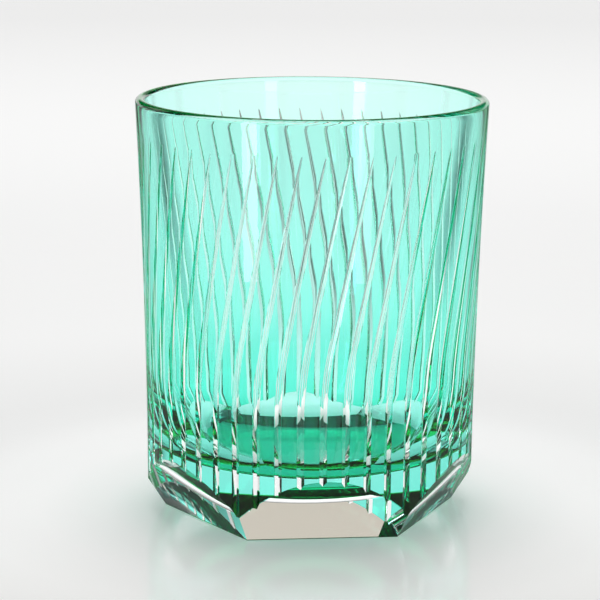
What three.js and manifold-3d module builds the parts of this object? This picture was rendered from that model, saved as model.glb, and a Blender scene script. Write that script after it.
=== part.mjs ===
// Whisky tumbler in cased cut glass: a thick-based clear crystal cup under a thin emerald overlay.
// 48 slender V-cuts sweep round the wall and lay bare the crystal, and six flat facets cut the foot
// to a hexagon. Millimetres, +Z up, origin at the centre of the base, front facet facing -Y.
import * as THREE from "three";
import { mergeVertices } from "three/addons/utils/BufferGeometryUtils.js";
import Module from "manifold-3d";

// Overall size
const HEIGHT = 95;
const BASE_RADIUS = 37.6; // outer wall carried down to z = 0
const RIM_RADIUS = 40;
const RIM_THICKNESS = 2.3; // crystal and overlay together

// Inside of the cup
const WALL_LOW = 5.9; // thickness of the wall carried down to z = 0
const FLOOR_MIDDLE = 11; // thickness of the solid base on the axis
const DISH_RADIUS = 96.5; // of the shallow bowl that the floor follows
const DISH_EDGE = 25.6; // where the floor starts to turn up into the wall
const HOLLOW_LOW = 34.5; // height at which that turn ends in the straight wall
const TURN_OUT = 5.5; // how far the turn keeps to the slope of the floor
const TURN_DOWN = 7.3; // and to the wall

// Overlay
const OVERLAY_THICKNESS = 0.3;
const BOND_GAP = 0.1;
const OVERLAY_LIP_DROP = 1.3; // overlay stops this far below the rim, where the lip starts to turn in
const OVERLAY_BEVEL = 0.18;
const WALL_TOP = HEIGHT - OVERLAY_LIP_DROP;

// Foot facets
const FACETS = 6;
const BASE_ACROSS_FLATS = 58.1;
const FACET_TILT = THREE.MathUtils.degToRad(29); // from the vertical
const FACET_BLOCK = 120; // side of the block that stands for what one facet removes

// Swept cuts
const CUTS = 48;
const CUT_PHASE = THREE.MathUtils.degToRad(-1.4); // of the first cut's foot, from a hexagon corner
const CUT_TIP_HEIGHT = 87.3;
const CUT_BEND_HEIGHT = 37; // upright below this, leaning above it
const CUT_BEND_HALF = 8; // half the height of the smooth bend
const CUT_TWIST = 2 * (2 * Math.PI / CUTS); // foot to tip: two pitches
const CUT_WIDTH = 1.75;
const CUT_TAPER_LENGTH = 50; // full width this far below the tip
const CUT_TAPER_POWER = 0.4;
const CUT_HALF_ANGLE = THREE.MathUtils.degToRad(55);
const CUT_CLEARANCE = 0.7; // how far the cutter stands out of the wall
const CUT_STATIONS = [
  0,
  CUT_BEND_HEIGHT - CUT_BEND_HALF,
  CUT_BEND_HEIGHT,
  CUT_BEND_HEIGHT + CUT_BEND_HALF,
  60,
  76,
  84,
  CUT_TIP_HEIGHT,
  CUT_TIP_HEIGHT + 0.1,
];

// Fineness
const AROUND = 48;
const WALL_ROWS = 3;
const TURN_ROWS = 7;
const DISH_ROWS = 4;
const LIP_ROWS = 4;

const wasm = await Module();
wasm.setup();

function outerRadius(z) {
  return BASE_RADIUS + (RIM_RADIUS - BASE_RADIUS) * (z / HEIGHT) ** 2;
}

function innerRadius(z) {
  return outerRadius(z) - THREE.MathUtils.lerp(WALL_LOW, RIM_THICKNESS, z / HEIGHT);
}

// A geometry as a solid, and back again.
function solid(geometry) {
  const bare = geometry.clone();
  bare.deleteAttribute("normal");
  bare.deleteAttribute("uv");
  const merged = mergeVertices(bare, 1e-4);
  return new wasm.Manifold(new wasm.Mesh({
    numProp: 3,
    vertProperties: merged.attributes.position.array,
    triVerts: new Uint32Array(merged.index.array),
  }));
}

function geometryOf(body) {
  const mesh = body.getMesh();
  const geometry = new THREE.BufferGeometry();
  geometry.setAttribute("position", new THREE.BufferAttribute(mesh.vertProperties, 3));
  geometry.setIndex(new THREE.BufferAttribute(mesh.triVerts, 1));
  geometry.computeVertexNormals();
  return geometry;
}

// Revolves a profile of (radius, height) points about +Z.
function revolve(profile) {
  const points = profile.map(([radius, height]) => new THREE.Vector2(radius, height));
  return new THREE.LatheGeometry(points, AROUND).rotateX(Math.PI / 2);
}

function rows(from, to, count, pointAt) {
  return Array.from({ length: count + 1 }, (_, i) => pointAt(from + (to - from) * i / count));
}

// The floor, from the end of the straight inner wall round the turn and down the dish to the axis.
function floorProfile() {
  const dish = (radius) => FLOOR_MIDDLE + radius ** 2 / (2 * DISH_RADIUS);
  const slope = new THREE.Vector2(DISH_RADIUS, DISH_EDGE).normalize();
  const wallEnd = new THREE.Vector2(innerRadius(HOLLOW_LOW), HOLLOW_LOW);
  const dishEnd = new THREE.Vector2(DISH_EDGE, dish(DISH_EDGE));
  const turn = new THREE.CubicBezierCurve(
    wallEnd,
    wallEnd.clone().add(new THREE.Vector2(0, -TURN_DOWN)),
    dishEnd.clone().add(slope.multiplyScalar(TURN_OUT)),
    dishEnd,
  );
  return [
    ...turn.getPoints(TURN_ROWS).map((point) => [point.x, point.y]),
    ...rows(DISH_EDGE, 0, DISH_ROWS, (radius) => [radius, dish(radius)]).slice(1),
  ];
}

// The crystal cup before it is cut: foot, outer wall under the overlay, rounded lip, inner wall
// and dished floor.
function crystalBlank() {
  const inset = OVERLAY_THICKNESS + BOND_GAP;
  const lipHalf = (RIM_THICKNESS - inset) / 2;
  const lipHeight = HEIGHT - lipHalf;
  const lipMiddle = (outerRadius(lipHeight) - inset + innerRadius(lipHeight)) / 2;
  const lipRadius = (outerRadius(lipHeight) - inset - innerRadius(lipHeight)) / 2;
  const outer = rows(0, WALL_TOP, WALL_ROWS, (z) => [outerRadius(z) - inset, z]);
  const lip = rows(0, Math.PI, LIP_ROWS, (a) =>
    [lipMiddle + lipRadius * Math.cos(a), lipHeight + lipHalf * Math.sin(a)]);
  const inner = rows(lipHeight, HOLLOW_LOW, WALL_ROWS, (z) => [innerRadius(z), z]);
  return revolve([
    [0, 0],
    ...outer,
    ...lip,
    ...inner.slice(1),
    ...floorProfile().slice(1),
  ]);
}

// The overlay before it is cut: a thin sleeve whose top edge is bevelled to the lip.
function overlayBlank() {
  const outer = rows(0, WALL_TOP - OVERLAY_BEVEL, WALL_ROWS, (z) => [outerRadius(z), z]);
  const inner = rows(WALL_TOP, 0, WALL_ROWS, (z) => [outerRadius(z) - OVERLAY_THICKNESS, z]);
  return revolve([...outer, ...inner, outer[0]]);
}

// How far round a cut has leaned at height z: nothing below the bend, a steady lean above it.
function cutLean(z) {
  const lean = CUT_TWIST / (CUT_TIP_HEIGHT - CUT_BEND_HEIGHT);
  const along = THREE.MathUtils.clamp(z - CUT_BEND_HEIGHT + CUT_BEND_HALF, 0, 2 * CUT_BEND_HALF);
  const above = Math.max(0, z - CUT_BEND_HEIGHT - CUT_BEND_HALF);
  return lean * (along ** 2 / (4 * CUT_BEND_HALF) + above);
}

function cutDepth(z) {
  const below = (CUT_TIP_HEIGHT - z) / CUT_TAPER_LENGTH;
  const width = CUT_WIDTH * Math.sign(below) * Math.min(1, Math.abs(below)) ** CUT_TAPER_POWER;
  return width / 2 / Math.tan(CUT_HALF_ANGLE);
}

// One V-section cutter, made straight and then laid along its cut. The section's point is the
// bottom of the V, and its two corners stand clear of the wall.
function cutter() {
  const section = new THREE.Shape([
    new THREE.Vector2(0, 0),
    new THREE.Vector2(1, 1),
    new THREE.Vector2(-1, 1),
  ]);
  const steps = CUT_STATIONS.length - 1;
  const geometry = new THREE.ExtrudeGeometry(section, { depth: steps, steps, bevelEnabled: false });
  const place = geometry.attributes.position;
  for (let i = 0; i < place.count; i += 1) {
    const z = CUT_STATIONS[Math.round(place.getZ(i))];
    const rise = place.getY(i) > 0.5 ? CUT_CLEARANCE : -cutDepth(z);
    const radius = outerRadius(z) + rise;
    const sideways = place.getX(i) * (CUT_CLEARANCE + cutDepth(z)) * Math.tan(CUT_HALF_ANGLE);
    const angle = cutLean(z) - Math.atan2(sideways, radius);
    place.setXYZ(i, radius * Math.cos(angle), radius * Math.sin(angle), z);
  }
  return geometry;
}

function allCuts() {
  const one = cutter();
  return Array.from({ length: CUTS }, (_, i) =>
    solid(one.clone().rotateZ(CUT_PHASE + i * 2 * Math.PI / CUTS)));
}

// Everything outside one foot facet, as a tilted block.
function facetBlock(index) {
  const block = new THREE.BoxGeometry(FACET_BLOCK, FACET_BLOCK, FACET_BLOCK);
  block.translate(FACET_BLOCK / 2, 0, 0);
  block.rotateY(FACET_TILT);
  block.translate(BASE_ACROSS_FLATS / 2, 0, 0);
  block.rotateZ(-Math.PI / 2 + index * 2 * Math.PI / FACETS);
  return solid(block);
}

function cutGlass(blank, tools) {
  return tools.reduce((glass, tool) => glass.subtract(tool), solid(blank));
}

const facets = Array.from({ length: FACETS }, (_, i) => facetBlock(i));
const tools = [...facets, ...allCuts()];

function sub(name, blank, material) {
  const mesh = new THREE.Mesh(geometryOf(cutGlass(blank, tools)), material);
  mesh.name = name;
  return mesh;
}

const clearCrystal = new THREE.MeshStandardMaterial({
  color: 0xeef4f2,
  roughness: 0.03,
  metalness: 0,
  transparent: true,
  opacity: 0.45,
});
const emeraldGlass = new THREE.MeshStandardMaterial({
  color: 0x3fdcb4,
  roughness: 0.03,
  metalness: 0,
  transparent: true,
  opacity: 0.75,
});

const tumbler = new THREE.Group();
tumbler.name = "whisky_tumbler";
tumbler.add(sub("crystal_cup", crystalBlank(), clearCrystal));
tumbler.add(sub("emerald_overlay", overlayBlank(), emeraldGlass));

export default tumbler;
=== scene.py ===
"""Looks of the cut-glass whisky tumbler: fine meshes for the crystal cup and its emerald overlay,
their glass, a pale studio floor, soft light and the camera. Metres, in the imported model's frame."""
import math

import bmesh
import bpy
from mathutils import Matrix, Vector


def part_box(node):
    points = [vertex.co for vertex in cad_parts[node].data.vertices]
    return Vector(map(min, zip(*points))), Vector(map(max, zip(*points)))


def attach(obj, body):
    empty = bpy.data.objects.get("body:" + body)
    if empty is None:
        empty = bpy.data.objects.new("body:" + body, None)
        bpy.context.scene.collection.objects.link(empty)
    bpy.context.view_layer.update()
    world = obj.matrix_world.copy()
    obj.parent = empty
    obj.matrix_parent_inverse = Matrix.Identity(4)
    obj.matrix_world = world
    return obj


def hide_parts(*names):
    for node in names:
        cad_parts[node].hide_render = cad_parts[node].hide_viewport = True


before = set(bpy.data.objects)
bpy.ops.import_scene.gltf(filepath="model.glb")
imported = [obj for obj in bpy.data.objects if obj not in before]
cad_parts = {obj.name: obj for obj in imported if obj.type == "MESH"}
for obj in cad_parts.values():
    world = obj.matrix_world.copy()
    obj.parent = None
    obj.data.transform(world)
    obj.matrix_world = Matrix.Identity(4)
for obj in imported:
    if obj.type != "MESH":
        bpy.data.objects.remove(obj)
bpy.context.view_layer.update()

MM = 0.001
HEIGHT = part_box("crystal_cup")[1].z

# Cup, as in the CAD model
BASE_RADIUS = 37.6 * MM
RIM_RADIUS = 40 * MM
RIM_THICKNESS = 2.3 * MM
WALL_LOW = 5.9 * MM  # thickness of the wall near the floor
FLOOR_MIDDLE = 11.0 * MM
DISH_RADIUS = 96.5 * MM  # of the sphere that the floor follows
DISH_EDGE = 25.6 * MM  # where the floor turns up into the wall
HOLLOW_LOW = 34.5 * MM  # where the turn ends in the straight wall
TURN_OUT = 5.5 * MM  # how far the turn keeps to the slope of the floor
TURN_DOWN = 7.3 * MM  # and to the wall

# Overlay
OVERLAY = 0.08 * MM
FOOT_LAYER = 0.2 * MM  # overlay left under the foot
STRIP_FOOT = 2 * MM  # the facets cut the strips off above this
BOND = 0.02 * MM  # between the two solids, which are one piece of glass to the eye

# Foot facets
FACETS = 6
BASE_ACROSS_FLATS = 58.1 * MM
FACET_TILT = math.radians(29)

# Swept cuts
CUTS = 48
PITCH = 2 * math.pi / CUTS
CUT_PHASE = math.radians(-1.4)
CUT_TIP = 87.3 * MM
CUT_BEND = 37 * MM
CUT_BEND_HALF = 8 * MM
CUT_TWIST = 2 * PITCH
CUT_WIDTH = 1.75 * MM
CUT_TAPER = 50 * MM
CUT_TAPER_POWER = 0.4
CUT_SLOPE = math.tan(math.radians(55))  # half width over depth
CUT_ROOT = 0.07 * MM  # half width of the rounding at the bottom of a cut

# Fineness
STRIP_STEPS = 5
LIP_STEPS = 14
FILLET_STEPS = 20
DISH_STEPS = 24
MERGE = 1e-7
SHARP = math.radians(16)

EXPOSED, BONDED = 0, 1


def outer_radius(z):
    return BASE_RADIUS + (RIM_RADIUS - BASE_RADIUS) * (z / HEIGHT) ** 2


def inner_radius(z):
    return outer_radius(z) - WALL_LOW - (RIM_THICKNESS - WALL_LOW) * z / HEIGHT


def floor_profile():
    """(radius, height) pairs from the bottom of the straight wall, round the turn, to the middle."""
    edge = FLOOR_MIDDLE + DISH_EDGE**2 / 2 / DISH_RADIUS
    slope = Vector((DISH_RADIUS, DISH_EDGE)).normalized()
    ends = [Vector((inner_radius(HOLLOW_LOW), HOLLOW_LOW)), Vector((DISH_EDGE, edge))]
    guides = [ends[0] - Vector((0, TURN_DOWN)), ends[1] + slope * TURN_OUT]
    points = []
    for i in range(1, FILLET_STEPS + 1):
        t = i / FILLET_STEPS
        u = 1 - t
        point = u**3 * ends[0] + 3 * u * u * t * guides[0]
        points.append(point + 3 * u * t * t * guides[1] + t**3 * ends[1])
    for i in range(1, DISH_STEPS):
        part = 1 - i / DISH_STEPS
        points.append(Vector((DISH_EDGE * part, FLOOR_MIDDLE + (edge - FLOOR_MIDDLE) * part**2)))
    return points


LIP = RIM_THICKNESS / 2
LIP_Z = HEIGHT - LIP
LIP_MIDDLE = (outer_radius(LIP_Z) + inner_radius(LIP_Z)) / 2
LIP_RADIUS = (outer_radius(LIP_Z) - inner_radius(LIP_Z)) / 2
LIP_SEAM = math.acos(1 - OVERLAY / LIP_RADIUS)  # how far over the lip the overlay reaches


def cut_lean(z):
    """Angle that a cut has swept at height z, from its upright foot."""
    z = min(z, CUT_TIP)
    along = min(max(z - CUT_BEND + CUT_BEND_HALF, 0), 2 * CUT_BEND_HALF)
    above = max(0, z - CUT_BEND - CUT_BEND_HALF)
    return CUT_TWIST / (CUT_TIP - CUT_BEND) * (along**2 / (4 * CUT_BEND_HALF) + above)


def cut_depth(z):
    below = (CUT_TIP - z) / CUT_TAPER
    if below <= 0:
        return 0.0
    return CUT_WIDTH / 2 / CUT_SLOPE * min(1, below) ** CUT_TAPER_POWER


def height_of_depth(depth):
    """Height at which a cut is that deep, near its tip."""
    return CUT_TIP - CUT_TAPER * (depth * 2 * CUT_SLOPE / CUT_WIDTH) ** (1 / CUT_TAPER_POWER)


def steps(low, high, size):
    """Heights from low up to high, without high, about size apart."""
    count = max(1, round((high - low) / size))
    return [low + (high - low) * i / count for i in range(count)]


def wall_heights(*extra):
    """Heights of the rings of the outer wall, closest together where a cut bends or ends."""
    bend_low, bend_high = CUT_BEND - CUT_BEND_HALF, CUT_BEND + CUT_BEND_HALF
    heights = steps(0, bend_low, 3 * MM) + steps(bend_low, bend_high, 0.8 * MM)
    heights += steps(bend_high, CUT_TIP - 6 * MM, 1.6 * MM)
    heights += steps(CUT_TIP - 6 * MM, CUT_TIP, 0.5 * MM)
    heights += steps(CUT_TIP, LIP_Z, 1.0 * MM)
    heights += [LIP_Z, *extra]
    return sorted(heights)


def at(radius, angle, z):
    return (radius * math.cos(angle), radius * math.sin(angle), z)


def cut_section(z, top):
    """(half width at depth top, half width of the root, depth) of a cut at height z."""
    depth = cut_depth(z)
    if depth <= top:
        return 0.0, 0.0, top
    half = (depth - top) * CUT_SLOPE
    return half, min(CUT_ROOT, half * 0.4), depth


def spread(start, stop, count):
    return [start + (stop - start) * i / count for i in range(count + 1)]


def cup_ring(z, radius, cut_top=None):
    """One ring of the cup: for each pitch five columns across the cut, then the wall to the next."""
    points = []
    half, root, depth = cut_section(z, cut_top) if cut_top is not None else (0.0, 0.0, 0.0)
    for i in range(CUTS):
        middle = CUT_PHASE + i * PITCH + cut_lean(z)
        if half:
            bottom = outer_radius(z) - depth
            side = bottom + root / CUT_SLOPE
            points.append(at(radius, middle - half / radius, z))
            points.append(at(side, middle - root / side, z))
            points.append(at(bottom + 0.4 * root / CUT_SLOPE, middle, z))
            points.append(at(side, middle + root / side, z))
        else:
            points += [at(radius, middle, z)] * 4
        wall = spread(middle + half / radius, middle + PITCH - half / radius, STRIP_STEPS)
        points += [at(radius, angle, z) for angle in wall[:-1]]
    return points


def add_rings(bm, rings, skins):
    """Faces between rings. skins[row][column] is the material of the face above that ring's edge."""
    made = [[bm.verts.new(p) for p in ring] for ring in rings]
    for low, high, skin in zip(made, made[1:], skins):
        for j in range(len(low)):
            k = (j + 1) % len(low)
            face = bm.faces.new((low[j], low[k], high[k], high[j]))
            face.material_index = skin[j % len(skin)]
    return made


def lip_points(start, stop, count):
    """(height, radius) pairs over the rounded rim, from angle start to stop."""
    return [(LIP_Z + LIP * math.sin(a), LIP_MIDDLE + LIP_RADIUS * math.cos(a))
            for a in spread(start, stop, count)]


def cup_mesh():
    """The crystal: cut wall, rim, inner wall, floor and underside."""
    bm = bmesh.new()
    cover = OVERLAY + BOND
    rings, skins = [], []
    outside = [EXPOSED] * 4 + [BONDED] * STRIP_STEPS
    for z in wall_heights(height_of_depth(cover)):
        rings.append(cup_ring(z, outer_radius(z) - cover, cover))
        skins.append(outside)
    foot = FOOT_LAYER + BOND
    rings[0] = [(x, y, foot) for x, y, z in rings[0]]
    skins.pop()
    seam = LIP_SEAM + BOND / LIP_RADIUS
    skins.append([BONDED])
    for z, radius in lip_points(seam, math.pi, LIP_STEPS):
        rings.append(cup_ring(z, radius))
        skins.append([EXPOSED])
    for z in reversed(steps(HOLLOW_LOW, LIP_Z, 3 * MM)):
        rings.append(cup_ring(z, inner_radius(z)))
        skins.append([EXPOSED])
    for radius, z in floor_profile():
        rings.append(cup_ring(z, radius))
        skins.append([EXPOSED])
    skins.pop()
    # Rings inside the cup keep the lean of the rim, so that no column twists on the way down.
    made = add_rings(bm, untwist(rings), skins)
    middle = bm.verts.new((0, 0, FLOOR_MIDDLE))
    for low, high in zip(made[-1], made[-1][1:] + made[-1][:1]):
        bm.faces.new((low, high, middle))
    bm.faces.new(reversed(made[0])).material_index = BONDED
    return bm


def untwist(rings):
    """Inside the cup each ring is turned back to the angle that the cuts have at the rim."""
    rim = rings[len(rings) // 2]
    out = []
    lip_passed = False
    for ring in rings:
        if lip_passed:
            z = ring[0][2]
            turn = Matrix.Rotation(CUT_TWIST - cut_lean(z), 3, "Z")
            ring = [tuple(turn @ Vector(p)) for p in ring]
        elif ring[0][2] >= HEIGHT - 1e-6:
            lip_passed = True
        out.append(ring)
    return out


def overlay_mesh():
    """The colour layer: the strips between the cuts, joined under the rim, and the foot layer."""
    bm = bmesh.new()
    heights = [z for z in wall_heights(height_of_depth(OVERLAY)) if z > STRIP_FOOT]
    arc = lip_points(0, LIP_SEAM, 5)[1:]
    for i in range(CUTS):
        outer, inner = [], []
        for z in heights:
            radius = outer_radius(z)
            depth = min(cut_depth(z), OVERLAY)
            edge = cut_depth(z) * CUT_SLOPE
            slit = (cut_depth(z) - depth) * CUT_SLOPE
            start = CUT_PHASE + i * PITCH + cut_lean(z)
            floor = radius - depth
            wall = spread(start + edge / radius, start + PITCH - edge / radius, STRIP_STEPS)
            outer.append([at(floor, start + slit / floor, z), *[at(radius, a, z) for a in wall],
                          at(floor, start + PITCH - slit / floor, z)])
            back = radius - OVERLAY
            wall = spread(start + slit / back, start + PITCH - slit / back, STRIP_STEPS)
            inner.append([at(back, a, z) for a in wall])
        for z, radius in arc:
            start = CUT_PHASE + i * PITCH + CUT_TWIST
            wall = [at(radius, a, z) for a in spread(start, start + PITCH, STRIP_STEPS)]
            outer.append([wall[0], *wall, wall[-1]])
        inner.append(outer[-1][1:-1])
        add_sheet(bm, outer, EXPOSED, False)
        add_sheet(bm, inner, BONDED, True)
        bm.faces.new([bm.verts.new(p) for p in [*reversed(outer[0]), *inner[0][1:-1]]])
    foot = bmesh.ops.create_cone(bm, cap_ends=True, segments=48, radius1=BASE_RADIUS, radius2=BASE_RADIUS,
                                 depth=FOOT_LAYER, matrix=Matrix.Translation((0, 0, FOOT_LAYER / 2)))
    for face in {face for vert in foot["verts"] for face in vert.link_faces}:
        if face.normal.z > 0.5:
            face.material_index = BONDED
    return bm


def add_sheet(bm, rows, skin, inward):
    """Faces between open rows of points."""
    made = [[bm.verts.new(p) for p in row] for row in rows]
    for low, high in zip(made, made[1:]):
        for j in range(len(low) - 1):
            corners = (low[j], low[j + 1], high[j + 1], high[j])
            face = bm.faces.new(tuple(reversed(corners)) if inward else corners)
            face.material_index = skin


def cut_facets(bm):
    """Takes off everything outside the six foot facets, and closes each cut face."""
    for i in range(FACETS):
        angle = -math.pi / 2 + i * 2 * math.pi / FACETS
        out = Vector((math.cos(angle), math.sin(angle), 0))
        normal = out * math.cos(FACET_TILT) - Vector((0, 0, math.sin(FACET_TILT)))
        geometry = bm.verts[:] + bm.edges[:] + bm.faces[:]
        bmesh.ops.bisect_plane(bm, geom=geometry, dist=1e-8, plane_co=out * BASE_ACROSS_FLATS / 2,
                               plane_no=normal, clear_outer=True)
        rim = [e for e in bm.edges if e.is_boundary]
        for face in bmesh.ops.holes_fill(bm, edges=rim)["faces"]:
            face.material_index = EXPOSED


def finish_mesh(bm, name, materials):
    """Cuts the facets, marks the sharp edges and makes the piece."""
    bmesh.ops.remove_doubles(bm, verts=bm.verts, dist=MERGE)
    bmesh.ops.dissolve_degenerate(bm, edges=bm.edges, dist=MERGE / 10)
    cut_facets(bm)
    bmesh.ops.remove_doubles(bm, verts=bm.verts, dist=MERGE)
    bmesh.ops.recalc_face_normals(bm, faces=bm.faces)
    for face in bm.faces:
        face.smooth = True
    for edge in bm.edges:
        edge.smooth = edge.is_manifold and edge.calc_face_angle(0) < SHARP
    mesh = bpy.data.meshes.new(name)
    bm.to_mesh(mesh)
    bm.free()
    for material in materials:
        mesh.materials.append(material)
    piece = bpy.data.objects.new(name, mesh)
    bpy.context.scene.collection.objects.link(piece)
    return piece


# Materials

def new_material(name):
    material = bpy.data.materials.new(name)
    material.use_nodes = True
    nodes = material.node_tree.nodes
    nodes.clear()
    return material, nodes, material.node_tree.links


def ramp_node(nodes, stops):
    """Colour ramp through (position, grey or colour) stops."""
    ramp = nodes.new("ShaderNodeValToRGB")
    while len(ramp.color_ramp.elements) < len(stops):
        ramp.color_ramp.elements.new(0.5)
    for element, (position, value) in zip(ramp.color_ramp.elements, stops):
        element.position = position
        element.color = (*value, 1) if isinstance(value, tuple) else (value, value, value, 1)
    return ramp


def math_node(nodes, links, operation, *values):
    node = nodes.new("ShaderNodeMath")
    node.operation = operation
    for socket, value in zip(node.inputs, values):
        if isinstance(value, (int, float)):
            socket.default_value = value
        else:
            links.new(value, socket)
    return node.outputs["Value"]


def glass(name):
    """Polished glass with the faint waviness that the wheel and the fire leave."""
    material, nodes, links = new_material(name)
    output = nodes.new("ShaderNodeOutputMaterial")
    shader = nodes.new("ShaderNodeBsdfPrincipled")
    shader.inputs["Base Color"].default_value = (1, 1, 1, 1)
    shader.inputs["Roughness"].default_value = 0.0
    shader.inputs["IOR"].default_value = CRYSTAL_IOR
    shader.inputs["Transmission Weight"].default_value = 1.0
    links.new(shader.outputs["BSDF"], output.inputs["Surface"])
    place = nodes.new("ShaderNodeTexCoord")
    noise = nodes.new("ShaderNodeTexNoise")
    noise.inputs["Scale"].default_value = WAVE_SCALE
    noise.inputs["Detail"].default_value = 1.0
    bump = nodes.new("ShaderNodeBump")
    bump.inputs["Strength"].default_value = 1.0
    bump.inputs["Distance"].default_value = WAVE
    links.new(place.outputs["Object"], noise.inputs["Vector"])
    links.new(noise.outputs["Fac"], bump.inputs["Height"])
    links.new(bump.outputs["Normal"], shader.inputs["Normal"])
    return material


def bonded(name, colors):
    """Where the two glasses are fused there is no surface, only the colour of the layer, which
    the blowing left thicker towards the foot. colors: (height, colour) pairs going up, or None
    on the clear side."""
    material, nodes, links = new_material(name)
    output = nodes.new("ShaderNodeOutputMaterial")
    shader = nodes.new("ShaderNodeBsdfTransparent")
    shader.inputs["Color"].default_value = (1, 1, 1, 1)
    links.new(shader.outputs["BSDF"], output.inputs["Surface"])
    if colors:
        place = nodes.new("ShaderNodeTexCoord")
        split = nodes.new("ShaderNodeSeparateXYZ")
        links.new(place.outputs["Object"], split.inputs["Vector"])
        ramp = ramp_node(nodes, [(height / HEIGHT, color) for height, color in colors])
        links.new(math_node(nodes, links, "DIVIDE", split.outputs["Z"], HEIGHT), ramp.inputs["Fac"])
        slant = nodes.new("ShaderNodeLayerWeight")
        slant.inputs["Blend"].default_value = 0.5
        cosine = math_node(nodes, links, "SUBTRACT", 1.0, slant.outputs["Facing"])
        power = nodes.new("ShaderNodeGamma")  # a slanting ray has further to go through the layer
        links.new(math_node(nodes, links, "DIVIDE", 1.0, cosine), power.inputs["Gamma"])
        links.new(ramp.outputs["Color"], power.inputs["Color"])
        links.new(power.outputs["Color"], shader.inputs["Color"])
    return material


CRYSTAL_IOR = 1.57
WAVE = 0.01 * MM
WAVE_SCALE = 60
# What one pass through the overlay leaves of white light, by height
EMERALD = (
    (1 * MM, (0.13, 0.90, 0.69)),
    (4 * MM, (0.20, 0.93, 0.77)),
    (24 * MM, (0.30, 0.94, 0.83)),
    (36 * MM, (0.47, 0.965, 0.88)),
    (60 * MM, (0.60, 0.965, 0.91)),
    (90 * MM, (0.67, 0.975, 0.92)),
)
crystal = glass("crystal")
crystal_bond = bonded("crystal_bond", None)
emerald = glass("emerald")
emerald_bond = bonded("emerald_bond", EMERALD)

cup = finish_mesh(cup_mesh(), "cut_crystal_cup", [crystal, crystal_bond])
overlay = finish_mesh(overlay_mesh(), "cut_emerald_overlay", [emerald, emerald_bond])
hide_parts("crystal_cup")
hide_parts("emerald_overlay")
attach(cup, "root")
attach(overlay, "root")


# Studio. The surroundings that the glass sees repeat eight times round it, so that it is lit alike
# from every side.

VIEW_AZIMUTH = math.radians(-95.92)
CARDS = 8
CARD_EDGE = 0.2  # softness of the edge of a card or runner
CARD_GAP = -0.2  # cosine of the turn at which a card ends
GAP_LIGHT = 0.0
# Painted shade: dark bands in the floor between the cards, which only the glass sees
SHADE_BAND_GAP = -0.8
SHADE_BAND_LIGHT = 0.1
SHADE_BAND_START = (0.12, 0.3)  # distances between which the painted shade bands fade in
FLOOR_REACH = 4.0
FLOOR_DROP = 0.02 * MM
# (distance over FLOOR_REACH, light added). Painted light: the floor glows by its distance from the glass.
# Under and beside the glass there is a painted green-tinted shadow, then a painted lighter ring at about
# 70 mm, painted shade at about 100 mm, and less light far away.
FLOOR_PAINTED_LIGHT = (
    (0.0, (0.27, 0.36, 0.33)),
    (0.009, (0.27, 0.36, 0.33)),
    (0.0125, 0.5),
    (0.018, 0.53),
    (0.025, 0.44),
    (0.045, 0.5),
    (0.1, 0.42),
    (0.3, 0.27),
)
PAINTED_GLOW_THROUGH_GLASS = 0.5  # share by which the painted glow is brighter to rays that come through glass
SHEEN_SHARE = 0.45  # of the floor in the sheen of the glass, as through a polarising filter: painted shade, the floor is drawn darker to rays mirrored off the glass
# (sine of the elevation, light of the cards)
CARD_LIGHT = (
    (0.0, 1.0),
    (0.14, 0.95),
    (0.19, 0.25),
    (0.31, 0.25),
    (0.35, (0.72, 0.67, 0.58)),
    (0.52, (0.6, 0.56, 0.48)),
    (0.58, 0.03),
)
CARDS_MEET = (0.15, 0.19)  # sines of the elevations below which the cards join up
FRONT_SHARE = 0.6  # of the cards on the camera's side, against those behind the glass
BACKDROP_LIGHT = 0.86
SOFTBOX_PLACE = (0.02, 0.42, 0.95)
SOFTBOX_SIZE = 0.6
SOFTBOX_LIGHT = 4.4
STRIPS = (("left", -37, 4.5), ("right", 32, 2.2))  # side, degrees from the camera, light
STRIP_REACH = 0.22  # distance and height
STRIP_WIDTH = 0.036
STRIP_MIDDLE = 0.12


def stage_disc(name, radius, z, material):
    bm = bmesh.new()
    bmesh.ops.create_circle(bm, cap_ends=True, segments=128, radius=radius)
    mesh = bpy.data.meshes.new(name)
    bm.to_mesh(mesh)
    bm.free()
    mesh.materials.append(material)
    disc = bpy.data.objects.new(name, mesh)
    disc.location.z = z
    bpy.context.scene.collection.objects.link(disc)


def turned_from_rear(nodes, links, split):
    """Azimuth of a place or direction, from straight behind the glass."""
    azimuth = math_node(nodes, links, "ARCTAN2", split.outputs["Y"], split.outputs["X"])
    return math_node(nodes, links, "SUBTRACT", azimuth, VIEW_AZIMUTH + math.pi)


def card_mask(nodes, links, turned, gap, gap_light):
    """1 on the white cards round the glass, or on the floor outside its painted shade bands; gap_light
    between the cards and in the bands.
    """
    wave = math_node(nodes, links, "COSINE", math_node(nodes, links, "MULTIPLY", turned, CARDS))
    card = nodes.new("ShaderNodeMapRange")
    card.inputs["From Min"].default_value = gap - CARD_EDGE
    card.inputs["From Max"].default_value = gap + CARD_EDGE
    card.inputs["To Min"].default_value = gap_light
    links.new(wave, card.inputs["Value"])
    return card.outputs["Result"]


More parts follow.
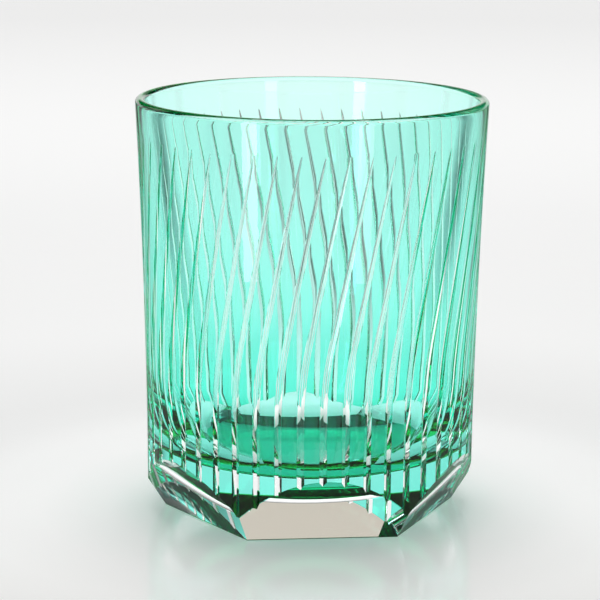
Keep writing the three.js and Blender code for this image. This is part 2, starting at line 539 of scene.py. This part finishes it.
def floor_material():
    """Pale acrylic with painted light: an emission that glows by its distance from the glass, with a
    painted shadow beside the glass, and brighter to rays that come through glass. Only the glass sees its
    painted dark bands, and the floor is painted darker in the glass's sheen.
    """
    material, nodes, links = new_material("pale_floor")
    output = nodes.new("ShaderNodeOutputMaterial")
    shader = nodes.new("ShaderNodeBsdfPrincipled")
    shader.inputs["Base Color"].default_value = (0.8, 0.81, 0.81, 1)
    shader.inputs["Roughness"].default_value = 0.14
    shader.inputs["Specular IOR Level"].default_value = 0.4
    place = nodes.new("ShaderNodeTexCoord")
    distance = nodes.new("ShaderNodeVectorMath")
    distance.operation = "LENGTH"
    links.new(place.outputs["Object"], distance.inputs[0])
    share = math_node(nodes, links, "DIVIDE", distance.outputs["Value"], FLOOR_REACH)
    # Painted light: the floor's emission, by distance from the glass, stands in for the light and shadow
    # on it
    glow = ramp_node(nodes, FLOOR_PAINTED_LIGHT)
    links.new(share, glow.inputs["Fac"])
    rays = nodes.new("ShaderNodeLightPath")
    # Painted light: rays that come through the glass see the floor brighter
    boost = math_node(nodes, links, "MULTIPLY", rays.outputs["Is Transmission Ray"], PAINTED_GLOW_THROUGH_GLASS)
    links.new(glow.outputs["Color"], shader.inputs["Emission Color"])
    strength = math_node(nodes, links, "ADD", boost, 1.0)
    links.new(strength, shader.inputs["Emission Strength"])
    split = nodes.new("ShaderNodeSeparateXYZ")
    links.new(place.outputs["Object"], split.inputs["Vector"])
    turned = turned_from_rear(nodes, links, split)
    # Painted shade: dark bands in the floor between the cards, fading in away from the glass, for rays
    # other than the camera's
    card = card_mask(nodes, links, turned, SHADE_BAND_GAP, SHADE_BAND_LIGHT)
    away = nodes.new("ShaderNodeMapRange")
    away.inputs["From Min"].default_value, away.inputs["From Max"].default_value = SHADE_BAND_START
    links.new(distance.outputs["Value"], away.inputs["Value"])
    gap = math_node(nodes, links, "SUBTRACT", 1.0, card)
    gap = math_node(nodes, links, "MULTIPLY", gap, away.outputs["Result"])
    unseen = math_node(nodes, links, "SUBTRACT", 1.0, rays.outputs["Is Camera Ray"])
    # Painted shade: the floor is darker in the glass's reflections
    mirrored = math_node(nodes, links, "MULTIPLY", rays.outputs["Is Reflection Ray"],
                         rays.outputs["Is Glossy Ray"])
    mirrored = math_node(nodes, links, "MULTIPLY", mirrored, 1 - SHEEN_SHARE)
    dim = math_node(nodes, links, "MULTIPLY", math_node(nodes, links, "MAXIMUM", gap, mirrored), unseen)
    dark = nodes.new("ShaderNodeBsdfDiffuse")
    dark.inputs["Color"].default_value = (0, 0, 0, 1)
    either = nodes.new("ShaderNodeMixShader")
    links.new(dim, either.inputs["Fac"])
    links.new(shader.outputs["BSDF"], either.inputs[1])
    links.new(dark.outputs["BSDF"], either.inputs[2])
    links.new(either.outputs["Shader"], output.inputs["Surface"])
    return material


def area_light(name, place, target, size, radiance):
    """Rectangular light of the given radiance, seen in the glass but not by the camera."""
    data = bpy.data.lights.new(name, "AREA")
    data.shape = "RECTANGLE"
    data.size, data.size_y = size
    data.energy = radiance * math.pi * size[0] * size[1]
    light = bpy.data.objects.new(name, data)
    light.location = place
    aim = Vector(target) - Vector(place)
    light.rotation_euler = aim.to_track_quat("-Z", "Y").to_euler()
    light.visible_camera = False
    bpy.context.scene.collection.objects.link(light)
    return light


def studio_lights():
    """A softbox overhead that only the floor sees, and two strips that light only the glass."""
    softbox = area_light("overhead_softbox", SOFTBOX_PLACE, (0, 0, 0), (SOFTBOX_SIZE, SOFTBOX_SIZE),
                         SOFTBOX_LIGHT)
    softbox.visible_transmission = False
    softbox.visible_glossy = False
    glass_pieces = bpy.data.collections.new("glass_pieces")
    for piece in (cup, overlay):
        glass_pieces.objects.link(piece)
    for side, turn, light in STRIPS:
        place = at(STRIP_REACH, VIEW_AZIMUTH + math.radians(turn), STRIP_MIDDLE)
        strip = area_light(side + "_strip", place, (0, 0, STRIP_MIDDLE), (STRIP_WIDTH, STRIP_REACH), light)
        strip.visible_diffuse = False
        strip.light_linking.receiver_collection = glass_pieces


def studio_world():
    """Surroundings seen in the glass: a ring of white cards round the table with dark gaps between
    them, grey above, black higher up; the camera itself sees an even backdrop."""
    world = bpy.data.worlds.new("studio")
    bpy.context.scene.world = world
    world.use_nodes = True
    nodes, links = world.node_tree.nodes, world.node_tree.links
    nodes.clear()
    output = nodes.new("ShaderNodeOutputWorld")
    place = nodes.new("ShaderNodeTexCoord")
    split = nodes.new("ShaderNodeSeparateXYZ")
    links.new(place.outputs["Generated"], split.inputs["Vector"])
    height = ramp_node(nodes, CARD_LIGHT)
    links.new(split.outputs["Z"], height.inputs["Fac"])
    turned = turned_from_rear(nodes, links, split)
    card = card_mask(nodes, links, turned, CARD_GAP, GAP_LIGHT)
    cards = nodes.new("ShaderNodeBackground")
    links.new(height.outputs["Color"], cards.inputs["Color"])
    low = nodes.new("ShaderNodeMapRange")
    low.inputs["From Max"].default_value, low.inputs["From Min"].default_value = CARDS_MEET
    links.new(split.outputs["Z"], low.inputs["Value"])
    card = math_node(nodes, links, "MAXIMUM", card, low.outputs["Result"])
    front = nodes.new("ShaderNodeMapRange")
    front.inputs["From Min"].default_value = -0.5
    front.inputs["From Max"].default_value = 0.5
    front.inputs["To Min"].default_value = FRONT_SHARE
    links.new(math_node(nodes, links, "COSINE", turned), front.inputs["Value"])
    strength = math_node(nodes, links, "MULTIPLY", card, front.outputs["Result"])
    links.new(strength, cards.inputs["Strength"])
    backdrop = nodes.new("ShaderNodeBackground")
    backdrop.inputs["Color"].default_value = (*[BACKDROP_LIGHT] * 3, 1)
    rays = nodes.new("ShaderNodeLightPath")
    either = nodes.new("ShaderNodeMixShader")
    links.new(rays.outputs["Is Camera Ray"], either.inputs["Fac"])
    links.new(cards.outputs["Background"], either.inputs[1])
    links.new(backdrop.outputs["Background"], either.inputs[2])
    links.new(either.outputs["Shader"], output.inputs["Surface"])


stage_disc("floor", FLOOR_REACH, -FLOOR_DROP, floor_material())
studio_lights()
studio_world()

# Camera, at the height and distance that give the rim's and the foot's ellipses
VIEW_DISTANCE = 538.1 * MM
VIEW_HEIGHT = 163.3 * MM
VIEW_PITCH = 0.21105
VIEW_YAW = -0.00457
VIEW_ROLL = 0.0066
LENS_WIDTHS = 2393.6 / 600  # focal length over picture width

camera_data = bpy.data.cameras.new("camera")
camera_data.sensor_width = 36
camera_data.lens = LENS_WIDTHS * 36
camera = bpy.data.objects.new("camera", camera_data)
camera.location = at(VIEW_DISTANCE, VIEW_AZIMUTH, VIEW_HEIGHT)
heading = VIEW_AZIMUTH + math.pi - VIEW_YAW
forward = Vector((math.cos(heading) * math.cos(VIEW_PITCH), math.sin(heading) * math.cos(VIEW_PITCH),
                  -math.sin(VIEW_PITCH)))
right = forward.cross(Vector((0, 0, 1))).normalized()
up = right.cross(forward)
turned_right = math.cos(VIEW_ROLL) * right + math.sin(VIEW_ROLL) * up
turned_up = math.cos(VIEW_ROLL) * up - math.sin(VIEW_ROLL) * right
camera.rotation_euler = Matrix((turned_right, turned_up, -forward)).transposed().to_euler()
bpy.context.scene.collection.objects.link(camera)
bpy.context.scene.camera = camera

scene = bpy.context.scene
scene.view_settings.view_transform = "Standard"
scene.cycles.use_denoising = True
scene.cycles.max_bounces = 32
scene.cycles.transmission_bounces = 32
scene.cycles.glossy_bounces = 16
scene.cycles.transparent_max_bounces = 64
scene.cycles.diffuse_bounces = 3
